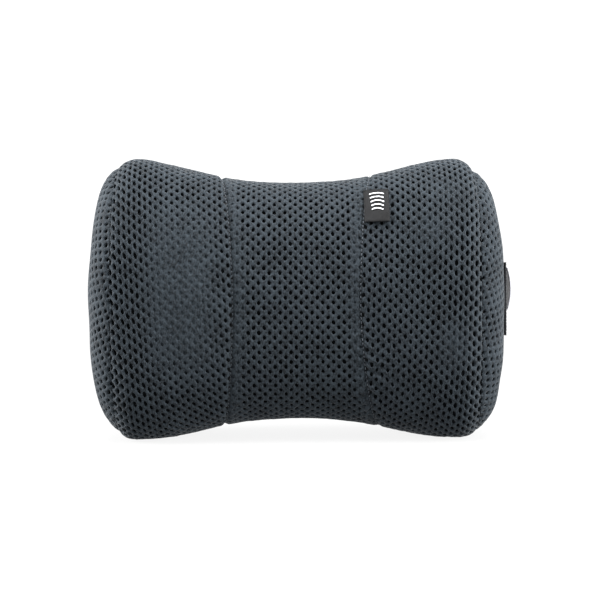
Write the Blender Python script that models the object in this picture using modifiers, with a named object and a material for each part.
"""Lumbar support cushion: an hourglass block of memory foam in a knitted liner and a zipped cover of
spacer mesh, with an elastic strap that holds it to a chair back.

Metres, +Z up. The front faces -Y, the flat back faces +Y, and the long axis runs along X. The origin is
on the surface that the cushion stands on, below the middle of its bounding box.
"""

import math

import bmesh
import bpy

# Foam shape: the hourglass outline of the cover's outer face
WIDTH = 0.330  # over both domed ends
END_DOME = 0.025  # how far an end panel bulges past its seam
LOBE_X = 0.125  # from the middle to the thickest place of each lobe
LOBE_HEIGHT = 0.222
WAIST_HEIGHT = 0.187
LOBE_FRONT = 0.068  # from the long axis to the front, at a lobe
WAIST_FRONT = 0.059
BACK_REACH = 0.046  # from the long axis to the flat back
SHOULDER_DROP = 0.006  # how far the skin turns in between a lobe and its end seam
PRESSED_FLAT = 0.0030  # how far the lobes are pressed in where they stand
FRONT_POWER = 2.3  # 2 is an ellipse, more is squarer
BASE_POWER = 3.0  # below the long axis at the front, where the cushion stands
BACK_POWER = 5.0
BACK_ROUNDING = 0.002  # how far the rounded section would reach past the flat back
WAIST_POWER = 1.3  # how long the waist stays narrow

# Layers
COVER_THICKNESS = 0.0035
LINER_THICKNESS = 0.0008
LAYER_GAP = 0.0020
SEAM_GAP = 0.0010  # groove between two sewn panels
TAB_GAP = 0.0014  # above and below the cover fabric past each end of the zip
TOUCH_GAP = 0.0004  # between pieces that rest on each other

# Seams of the centre band, measured from the middle of the cushion
BAND_HALF_FRONT = 0.048
BAND_HALF_EDGE = 0.059

# Zip along the back
ZIP_ABOVE_EDGE = 0.035  # above the lower edge of the back at the waist
ZIP_LENGTH = 0.230
ZIP_SLOT = 0.011  # opening between the two back panels
COIL_WIDTH = 0.0024
COIL_THICKNESS = 0.0016
COIL_GAP = 0.0012  # between the two coils
TAPE_THICKNESS = 0.0006
ZIP_RECESS = 0.0014  # from the back face in to the tape's outer face
STOP_LENGTH = 0.0024
SLIDER_LENGTH = 0.009
SLIDER_PLATE = 0.0009
SLIDER_FLANGE = 0.0009
SLIDER_POST = 0.0006
BRIDGE_LENGTH = 0.0064
BRIDGE_WIDTH = 0.0016
BRIDGE_BAR = 0.0010
BRIDGE_TUNNEL = 0.0020
PULL_LENGTH = 0.022
PULL_THICKNESS = 0.0009
PULL_BAR = 0.0011
PULL_ARM = 0.0010
PULL_TAIL_WIDTH = 0.0070

# Strap and labels
STRAP_WIDTH = 0.058
STRAP_THICKNESS = 0.0016
STRAP_LEAD = 0.010  # how far the strap's sewn edge lies in front of the long axis
CARE_HEIGHT = 0.033
CARE_LENGTH = 0.022
CARE_RISE = 0.008  # middle of the label above the strap's middle
CARE_BOW = 0.0022
CARE_THICKNESS = 0.0005
FLAG_LENGTH = 0.019
FLAG_THICKNESS = 0.0007
FLAG_HEIGHT = 0.022
FLAG_RISE = 0.0705  # middle of the label above the long axis

# Places that follow from the sizes
SEAM_X = WIDTH / 2 - END_DOME
SLIDER_PROUD = TOUCH_GAP + COIL_THICKNESS - ZIP_RECESS + TOUCH_GAP + SLIDER_PLATE + BRIDGE_TUNNEL + BRIDGE_BAR
CARE_PROUD = 2 * TOUCH_GAP + STRAP_THICKNESS + CARE_BOW + CARE_THICKNESS
AXIS_X = -CARE_PROUD / 2
AXIS_Y = (LOBE_FRONT - BACK_REACH - SLIDER_PROUD) / 2
AXIS_Z = LOBE_HEIGHT / 2 - PRESSED_FLAT
BACK_Y = AXIS_Y + BACK_REACH
ZIP_HEIGHT = AXIS_Z - WAIST_HEIGHT / 2 + ZIP_ABOVE_EDGE
LINER_INSET = COVER_THICKNESS + LAYER_GAP
FOAM_INSET = LINER_INSET + LINER_THICKNESS + LAYER_GAP

# Fineness of the lofts
AROUND = 32
END_RINGS = (0.999, 0.985, 0.93, 0.82, 0.6, 0.3, 0.0)  # shares of the end seam's radius
SIDE_BAND_STEPS = (0.0, 0.2, 0.4, 0.58, 0.72, 0.83, 0.92, 1.0)
CENTRE_BAND_STEPS = (0.0, 0.17, 0.33, 0.5, 0.67, 0.83, 1.0)
BODY_STEPS = (0.0, 0.15, 0.3, 0.45, 0.6, 0.75, 0.88, 0.95, 1.0)


# ---------------------------------------------------------------- scene and materials


def clear_scene():
    for thing in list(bpy.data.objects):
        bpy.data.objects.remove(thing)


def collection(name):
    made = bpy.data.collections.new(name)
    bpy.context.scene.collection.children.link(made)
    return made


def material(name, colour, roughness, metallic=0.0):
    made = bpy.data.materials.new(name)
    made.use_nodes = True
    shader = made.node_tree.nodes["Principled BSDF"]
    shader.inputs["Base Color"].default_value = (*colour, 1.0)
    shader.inputs["Roughness"].default_value = roughness
    shader.inputs["Metallic"].default_value = metallic
    return made


def place(name, mesh, look, home, location=(0, 0, 0)):
    thing = bpy.data.objects.new(name, mesh)
    thing.location = location
    mesh.materials.append(look)
    home.objects.link(thing)
    return thing


# ---------------------------------------------------------------- the cushion's skin


def bulge(x):
    """0 at the waist, 1 from the lobe outwards."""
    share = min(abs(x) / LOBE_X, 1.0) ** WAIST_POWER
    return (1 - math.cos(math.pi * share)) / 2


def past_lobe(x):
    """0 up to the lobe, 1 at the end seam."""
    return max(abs(x) - LOBE_X, 0.0) / (SEAM_X - LOBE_X)


def section_angle(phi):
    """The direction from the long axis of the skin point at phi, which spreads points evenly along the
    section. Both are 0 at the back, a quarter turn at the top and half a turn at the front."""
    reach = BACK_REACH if math.cos(phi) > 0 else LOBE_FRONT
    return math.atan2(LOBE_HEIGHT / 2 * math.sin(phi), reach * math.cos(phi))


def section_radius(x, phi, inset):
    """Distance from the long axis to the skin. The section is a rounded D, cut flat by the back and by
    the surface that the cushion stands on."""
    angle = section_angle(phi)
    across, up = math.cos(angle), math.sin(angle)
    drop = SHOULDER_DROP * past_lobe(x) ** 2 + inset
    half_height = (WAIST_HEIGHT + (LOBE_HEIGHT - WAIST_HEIGHT) * bulge(x)) / 2 - drop
    front = WAIST_FRONT + (LOBE_FRONT - WAIST_FRONT) * bulge(x) - drop
    back = BACK_REACH + BACK_ROUNDING - drop
    front_power = FRONT_POWER if up > 0 else BASE_POWER
    reach, power = (back, BACK_POWER) if across > 0 else (front, front_power)
    radius = (abs(across / reach) ** power + abs(up / half_height) ** power) ** (-1 / power)
    if across > 1e-6:
        radius = min(radius, (BACK_REACH - drop) / across)
    if up < -1e-6:
        radius = min(radius, (AXIS_Z - inset) / -up)
    return radius


def skin_point(x, phi, inset=0.0, share=1.0):
    """A point of the cushion's section at x, or of its copy shrunk to a share, moved in by inset."""
    angle = section_angle(phi)
    radius = section_radius(x, phi, inset) * share
    along = x - math.copysign(inset * past_lobe(x), x)
    return (AXIS_X + along, AXIS_Y + radius * math.cos(angle), AXIS_Z + radius * math.sin(angle))


def dome_height(share):
    """How far an end panel stands past its seam, from its middle (share 0) to its edge (share 1)."""
    rounded_edge = 0.44 * math.sqrt(1 - share**8)
    crown = 0.56 * (1 - share**1.5)
    return END_DOME * (rounded_edge + crown)


def end_point(side, share, phi, inset=0.0):
    x, y, z = skin_point(side * SEAM_X, phi, inset, share)
    return (x + side * dome_height(share), y, z)


def back_phi(height, inset=0.0):
    """The phi of a height on the flat back, or on the layer at inset behind it."""
    slope = (height - AXIS_Z) / (BACK_REACH - inset)
    return math.atan(slope * BACK_REACH / (LOBE_HEIGHT / 2))


def band_half(phi):
    """Half the centre band's width, which is narrowest at the front."""
    frontness = max(-math.cos(phi), 0.0) ** 2
    return BAND_HALF_EDGE - (BAND_HALF_EDGE - BAND_HALF_FRONT) * frontness


def steps(first, last, count):
    return [first + (last - first) * n / count for n in range(count + 1)]


def mesh_object(name, points, faces, look, home):
    """An object made of faces. Points that coincide become one, and edges left without a face go."""
    mesh = bpy.data.meshes.new(name)
    mesh.from_pydata(points, [], faces)
    work = bmesh.new()
    work.from_mesh(mesh)
    bmesh.ops.remove_doubles(work, verts=work.verts, dist=1e-6)
    bare = [edge for edge in work.edges if not edge.link_faces]
    bmesh.ops.delete(work, geom=bare, context="EDGES")
    work.to_mesh(mesh)
    work.free()
    mesh.shade_smooth()
    return place(name, mesh, look, home)


def loft(name, rows, look, home, closed=False):
    """A sheet through rows of points, joined by four-sided faces. Rows run along +X and points run from
    the back over the top to the front, so the faces point out."""
    count = len(rows[0])
    faces = []
    for row in range(len(rows) - 1):
        for column in range(count if closed else count - 1):
            here = row * count + column
            beside = row * count + (column + 1) % count
            faces.append((here, beside, beside + count, here + count))
    return mesh_object(name, [point for row in rows for point in row], faces, look, home)


def shell(name, outer, inner, look, home, closed=False):
    """A closed layer between two lofts with the same rows, with walls along every open edge."""
    rows = outer + inner[::-1]
    count = len(rows[0])
    last_row = len(rows) - 1
    faces = []
    for row in range(len(rows)):
        following = (row + 1) % len(rows)
        for column in range(count if closed else count - 1):
            beside = (column + 1) % count
            near, far = row * count, following * count
            faces.append((near + column, near + beside, far + beside, far + column))
    for row in range(0 if closed else len(outer) - 1):
        behind, behind_next = last_row - row, last_row - row - 1
        for column, order in ((0, 1), (count - 1, -1)):
            wall = (row, row + 1, behind_next, behind)
            faces.append(tuple(line * count + column for line in wall[::order]))
    return mesh_object(name, [point for row in rows for point in row], faces, look, home)


def thicken(thing, thickness):
    """Gives an open sheet its thickness, on the side that its faces point to."""
    solid = thing.modifiers.new("Thickness", "SOLIDIFY")
    solid.thickness = thickness
    solid.offset = 1.0


# ---------------------------------------------------------------- core and liner


def full_turn():
    return steps(0.0, 2 * math.pi, AROUND)[:-1]


def dome_rows(side, inset):
    """Rows of an end panel, along +X."""
    rows = [[end_point(side, share, phi, inset) for phi in full_turn()] for share in END_RINGS]
    return rows if side > 0 else rows[::-1]


def body_stations():
    """The places along X where the body's sections stand, from one end seam to the other."""
    half = [(SEAM_X - SEAM_GAP / 2) * step for step in BODY_STEPS[1:]]
    return [-x for x in reversed(half)] + [0.0] + half


def sleeve_rows(inset):
    """Rows of the tube between the two end seams."""
    return [[skin_point(x, phi, inset) for phi in full_turn()] for x in body_stations()]


def make_core(home, foam, knit):
    core = dome_rows(-1, FOAM_INSET) + sleeve_rows(FOAM_INSET) + dome_rows(1, FOAM_INSET)
    loft("foam_core", core, foam, home, closed=True)
    inside = LINER_INSET + LINER_THICKNESS
    shell("liner_sleeve", sleeve_rows(LINER_INSET), sleeve_rows(inside), knit, home, closed=True)
    for side, name in ((-1, "left"), (1, "right")):
        outer, inner = dome_rows(side, LINER_INSET), dome_rows(side, inside)
        shell(f"liner_{name}_end", outer, inner, knit, home, closed=True)


# ---------------------------------------------------------------- cover


def make_bands(home, mesh_fabric):
    """The three bands that wrap the front, top and bottom, from one back corner to the other."""
    margin = SEAM_GAP / 2 / LOBE_FRONT
    corner = math.pi / 4
    phis = steps(corner + margin, 2 * math.pi - corner - margin, AROUND * 3 // 4)

    def band_rows(left_seam, right_seam, shares, inset):
        rows = []
        for share in shares:
            row = []
            for phi in phis:
                left, right = left_seam(phi) + SEAM_GAP / 2, right_seam(phi) - SEAM_GAP / 2
                row.append(skin_point(left + (right - left) * share, phi, inset))
            rows.append(row)
        return rows

    def band(name, left_seam, right_seam, shares):
        outer, inner = (band_rows(left_seam, right_seam, shares, inset) for inset in (0.0, COVER_THICKNESS))
        shell(name, outer, inner, mesh_fabric, home)

    def inner_left_seam(phi):
        return -band_half(phi)

    def left_end_seam(phi):
        return -SEAM_X

    def right_end_seam(phi):
        return SEAM_X

    mirrored = [1 - share for share in reversed(SIDE_BAND_STEPS)]
    band("cover_left_band", left_end_seam, inner_left_seam, mirrored)
    band("cover_centre_band", inner_left_seam, band_half, CENTRE_BAND_STEPS)
    band("cover_right_band", band_half, right_end_seam, SIDE_BAND_STEPS)


def make_ends(home, mesh_fabric):
    for side, name in ((-1, "left"), (1, "right")):
        outer, inner = dome_rows(side, 0.0), dome_rows(side, COVER_THICKNESS)
        shell(f"cover_{name}_end", outer, inner, mesh_fabric, home, closed=True)


def make_back(home, mesh_fabric):
    """Two back panels with the zip between them, and a short tab past each end of the zip."""
    corner = math.pi / 4 - SEAM_GAP / 2 / LOBE_FRONT
    whole = body_stations()
    zip_end = ZIP_LENGTH / 2 + SEAM_GAP
    right_tab = [zip_end] + [x for x in whole if x > zip_end]
    left_tab = [-x for x in reversed(right_tab)]
    slot_low, slot_high = ZIP_HEIGHT - ZIP_SLOT / 2, ZIP_HEIGHT + ZIP_SLOT / 2

    def panel(name, xs, first_phi, last_phi, count):
        grids = []
        for inset in (0.0, COVER_THICKNESS):
            phis = steps(first_phi(inset), last_phi(inset), count)
            grids.append([[skin_point(x, phi, inset) for phi in phis] for x in xs])
        shell(name, *grids, mesh_fabric, home)

    def at(height):
        return lambda inset: back_phi(height, inset)

    def at_corner(sign):
        return lambda inset: sign * corner

    panel("cover_back_upper", whole, at(slot_high), at_corner(1), AROUND // 4)
    panel("cover_back_lower", whole, at_corner(-1), at(slot_low), 4)
    panel("zip_end_tab_right", right_tab, at(slot_low + TAB_GAP), at(slot_high - TAB_GAP), 1)
    panel("zip_end_tab_left", left_tab, at(slot_low + TAB_GAP), at(slot_high - TAB_GAP), 1)


# ---------------------------------------------------------------- zip


def block(name, look, home, low, high, bevel=0.0):
    """A box between two corners, with its origin at its middle and rounded edges if bevel is given."""
    size = [b - a for a, b in zip(low, high)]
    bpy.ops.mesh.primitive_cube_add(size=1.0)
    thing = bpy.context.object
    thing.name = name
    for corner in thing.data.vertices:
        corner.co = [value * length for value, length in zip(corner.co, size)]
    thing.location = [(a + b) / 2 for a, b in zip(low, high)]
    thing.data.materials.append(look)
    for owner in list(thing.users_collection):
        owner.objects.unlink(thing)
    home.objects.link(thing)
    if bevel:
        rounding = thing.modifiers.new("Rounding", "BEVEL")
        rounding.width = bevel
        rounding.segments = 2
    return thing


def combine(thing, other, operation):
    boolean = thing.modifiers.new(operation.title(), "BOOLEAN")
    boolean.operation = operation
    boolean.object = other
    other.hide_render = True
    other.display_type = "WIRE"


def make_tapes_and_coils(home, tape_fabric, nylon, brass):
    tape_y = BACK_Y - ZIP_RECESS
    coil_low = tape_y + TOUCH_GAP / 2
    half = ZIP_LENGTH / 2
    coil_end = half - STOP_LENGTH - TOUCH_GAP
    inner_edge = COIL_GAP / 2
    outer_edge = inner_edge + COIL_WIDTH
    for side, name in ((1, "upper"), (-1, "lower")):

        def span(near, far):
            return sorted((ZIP_HEIGHT + side * near, ZIP_HEIGHT + side * far))

        low, high = span(inner_edge + TOUCH_GAP, ZIP_SLOT / 2 - TOUCH_GAP)
        block(
            f"zip_tape_{name}", tape_fabric, home,
            (AXIS_X - half, tape_y - TAPE_THICKNESS, low), (AXIS_X + half, tape_y, high),
        )
        low, high = span(inner_edge, outer_edge)
        top = coil_low + COIL_THICKNESS
        block(
            f"zip_coil_{name}", nylon, home,
            (AXIS_X - coil_end, coil_low, low), (AXIS_X + coil_end, top, high), bevel=0.0005,
        )
        block(
            f"zip_top_stop_{name}", brass, home,
            (AXIS_X - half, coil_low, low), (AXIS_X - half + STOP_LENGTH, top, high), bevel=0.0003,
        )
    block(
        "zip_bottom_stop", brass, home,
        (AXIS_X + half - STOP_LENGTH, coil_low, ZIP_HEIGHT - outer_edge),
        (AXIS_X + half, coil_low + COIL_THICKNESS, ZIP_HEIGHT + outer_edge), bevel=0.0003,
    )
    return coil_low


def make_slider(home, helpers, metal, coil_low):
    """The slider at the closed end of the zip: two plates on a post, flanges round the coils and a bridge
    that holds the pull."""
    middle_x = AXIS_X - ZIP_LENGTH / 2 + STOP_LENGTH + 2 * TOUCH_GAP + SLIDER_LENGTH / 2
    half = SLIDER_LENGTH / 2
    flange_in = COIL_GAP / 2 + COIL_WIDTH + TOUCH_GAP
    flange_out = flange_in + SLIDER_FLANGE
    top_low = coil_low + COIL_THICKNESS + TOUCH_GAP
    top_high = top_low + SLIDER_PLATE
    tape_in = BACK_Y - ZIP_RECESS - TAPE_THICKNESS
    bottom_high = tape_in - TOUCH_GAP
    sunk = SLIDER_PLATE / 2  # how far joined shapes run into each other

    def slab(name, low, high, bevel=0.0):
        (x0, y0, z0), (x1, y1, z1) = low, high
        return block(
            name, metal, helpers,
            (middle_x + x0, y0, ZIP_HEIGHT + z0), (middle_x + x1, y1, ZIP_HEIGHT + z1), bevel,
        )

    body = block(
        "zip_slider", metal, home,
        (middle_x - half, top_low, ZIP_HEIGHT - flange_out),
        (middle_x + half, top_high, ZIP_HEIGHT + flange_out), bevel=0.0003,
    )
    combine(body, slab(
        "slider_bottom_plate",
        (-half, bottom_high - SLIDER_PLATE, -flange_out), (half, bottom_high, flange_out), 0.0003,
    ), "UNION")
    combine(body, slab(
        "slider_post",
        (-half + sunk, bottom_high - sunk, -SLIDER_POST / 2), (-half / 3, top_low + sunk, SLIDER_POST / 2),
    ), "UNION")
    flange_low = coil_low + TOUCH_GAP / 2
    for side, name in ((1, "upper"), (-1, "lower")):
        near, far = sorted((side * flange_in, side * (flange_out - sunk / 4)))
        combine(body, slab(
            f"slider_flange_{name}", (-half + sunk, flange_low, near), (half - sunk, top_low + sunk, far)
        ), "UNION")
    bridge = slab(
        "slider_bridge",
        (-BRIDGE_LENGTH / 2, top_high - sunk, -BRIDGE_WIDTH / 2),
        (BRIDGE_LENGTH / 2, top_high + BRIDGE_TUNNEL + BRIDGE_BAR, BRIDGE_WIDTH / 2),
    )
    tunnel_half = BRIDGE_LENGTH / 2 - BRIDGE_BAR
    combine(bridge, slab(
        "slider_tunnel",
        (-tunnel_half, top_high - 2 * sunk, -BRIDGE_WIDTH),
        (tunnel_half, top_high + BRIDGE_TUNNEL, BRIDGE_WIDTH),
    ), "DIFFERENCE")
    combine(body, bridge, "UNION")
    return middle_x, top_high + BRIDGE_TUNNEL / 2


def make_pull(home, metal, pivot):
    """The flat pull tab, with its origin on its hinge axis. Its bar lies in the bridge's tunnel."""
    bar = PULL_BAR / 2
    window_half = BRIDGE_WIDTH / 2 + TOUCH_GAP
    neck = window_half + PULL_ARM
    window_end = math.hypot(BRIDGE_LENGTH / 2, BRIDGE_TUNNEL / 2 + BRIDGE_BAR) + PULL_THICKNESS
    tail = PULL_TAIL_WIDTH / 2
    flare = window_end + 2 * PULL_ARM
    rounding = steps(-math.pi / 2, math.pi / 2, 6)
    round_x = PULL_LENGTH - bar - tail
    outline = [(-bar, neck), (-bar, -neck), (flare, -neck), (flare + PULL_ARM, -tail)]
    outline += [(round_x + tail * math.cos(a), tail * math.sin(a)) for a in rounding]
    outline += [(flare + PULL_ARM, tail), (flare, neck)]
    window = [(bar, -window_half), (window_end, -window_half), (window_end, window_half), (bar, window_half)]
    hole = [
        (round_x + tail / 3 * math.cos(a), tail / 3 * math.sin(a)) for a in steps(0, 2 * math.pi, 10)[:-1]
    ]
    curve = bpy.data.curves.new("zip_pull", "CURVE")
    curve.dimensions = "2D"
    curve.fill_mode = "BOTH"
    curve.extrude = PULL_THICKNESS / 2
    for ring in (outline, window, hole):
        spline = curve.splines.new("POLY")
        spline.points.add(len(ring) - 1)
        spline.use_cyclic_u = True
        for point, (x, y) in zip(spline.points, ring):
            point.co = (x, y, 0.0, 1.0)
    pull = place("zip_pull", curve, metal, home, pivot)
    pull.rotation_euler = (math.pi / 2, 0, 0)


# ---------------------------------------------------------------- strap and labels


def taut(points):
    """The points that a taut strap touches as it goes round the others, which lie to its left."""
    touched = []
    for x, y in points:
        while len(touched) > 1:
            (x0, y0), (x1, y1) = touched[-2:]
            if (x1 - x0) * (y - y0) - (y1 - y0) * (x - x0) > 0:
                break
            touched.pop()
        touched.append((x, y))
    return touched


def make_strap(home, elastic):
    """Sewn to the right end panel, round the corner and flat across the back to the left lobe."""
    seam_back = section_radius(SEAM_X, 0.0, 0.0)
    seam_front = section_radius(SEAM_X, math.pi, 0.0)
    path = [(AXIS_X + end_x(-STRAP_LEAD, seam_front), AXIS_Y - STRAP_LEAD)]
    for share in (0.0, 0.2, 0.4, 0.55, 0.7, 0.82, 0.9, 0.96, 1.0):
        path.append((AXIS_X + SEAM_X + dome_height(share), AXIS_Y + share * seam_back))
    for share in (0.75, 0.5, 0.25, 0.0):
        x = LOBE_X + (SEAM_X - LOBE_X) * share
        path.append((AXIS_X + x, AXIS_Y + section_radius(x, 0.0, 0.0)))
    path.append((AXIS_X - LOBE_X, BACK_Y))
    low, high = AXIS_Z - STRAP_WIDTH / 2, AXIS_Z + STRAP_WIDTH / 2
    rows = [[(x, y, high), (x, y, low)] for x, y in taut(path)]
    strap = loft("chair_strap", rows, elastic, home)
    lift = strap.modifiers.new("Clear of the cover", "DISPLACE")
    lift.direction = "NORMAL"
    lift.mid_level = 0.0
    lift.strength = TOUCH_GAP
    thicken(strap, STRAP_THICKNESS)


def end_x(y, reach):
    """How far out the right end panel's skin is, at mid height and y from the long axis."""
    return SEAM_X + dome_height(abs(y) / reach)


def make_care_label(home, satin):
    """A satin label on the strap's sewn end, bowed outwards between its top and bottom edges."""
    seam_front = section_radius(SEAM_X, math.pi, 0.0)
    strap_face = AXIS_X + SEAM_X + dome_height(0.0) + TOUCH_GAP + STRAP_THICKNESS
    first_y = AXIS_Y - STRAP_LEAD + 2 * TOUCH_GAP
    rows = []
    for share in steps(0.0, 1.0, 8):
        height = AXIS_Z + CARE_RISE + (share - 0.5) * CARE_HEIGHT
        x = strap_face + TOUCH_GAP + CARE_BOW * math.sin(math.pi * share)
        rows.append([(x, first_y, height), (x, first_y + CARE_LENGTH, height)])
    thicken(loft("care_label", rows, satin, home), CARE_THICKNESS)


def make_flag_label(home, satin):
    """A folded label in the seam right of the centre band, lying on the right band."""
    seam = band_half(math.pi * 0.75)
    first = front_phi_at_height(AXIS_Z + FLAG_RISE + FLAG_HEIGHT / 2)
    last = front_phi_at_height(AXIS_Z + FLAG_RISE - FLAG_HEIGHT / 2)
    xs = steps(seam + SEAM_GAP, seam + FLAG_LENGTH, 3)
    rows = [[skin_point(x, phi, -TOUCH_GAP) for phi in steps(first, last, 4)] for x in xs]
    thicken(loft("flag_label", rows, satin, home), FLAG_THICKNESS)


def front_phi_at_height(height):
    """The phi on the front of the centre band where the skin is at a height above the axis."""
    low, high = math.pi / 2, math.pi
    for _ in range(40):
        middle = (low + high) / 2
        if skin_point(BAND_HALF_EDGE, middle)[2] > height:
            low = middle
        else:
            high = middle
    return low


# ---------------------------------------------------------------- assembly


def main():
    clear_scene()
    home = collection("lumbar_cushion")
    helpers = collection("cutters_and_joined_shapes")
    mesh_fabric = material("spacer_mesh", (0.055, 0.065, 0.080), 0.85)
    foam = material("memory_foam", (0.86, 0.82, 0.70), 0.95)
    knit = material("liner_knit", (0.80, 0.80, 0.78), 0.9)
    woven = material("zip_tape", (0.015, 0.016, 0.018), 0.8)
    nylon = material("zip_nylon", (0.012, 0.012, 0.013), 0.4)
    metal = material("zip_metal", (0.05, 0.05, 0.055), 0.35, 0.9)
    elastic = material("elastic_webbing", (0.012, 0.013, 0.016), 0.75)
    black_satin = material("black_satin", (0.018, 0.019, 0.022), 0.5)
    white_satin = material("white_satin", (0.72, 0.72, 0.74), 0.45)
    make_core(home, foam, knit)
    make_bands(home, mesh_fabric)
    make_ends(home, mesh_fabric)
    make_back(home, mesh_fabric)
    coil_low = make_tapes_and_coils(home, woven, nylon, metal)
    slider_x, pivot_y = make_slider(home, helpers, metal, coil_low)
    make_pull(home, metal, (slider_x, pivot_y, ZIP_HEIGHT))
    make_strap(home, elastic)
    make_care_label(home, white_satin)
    make_flag_label(home, black_satin)


main()
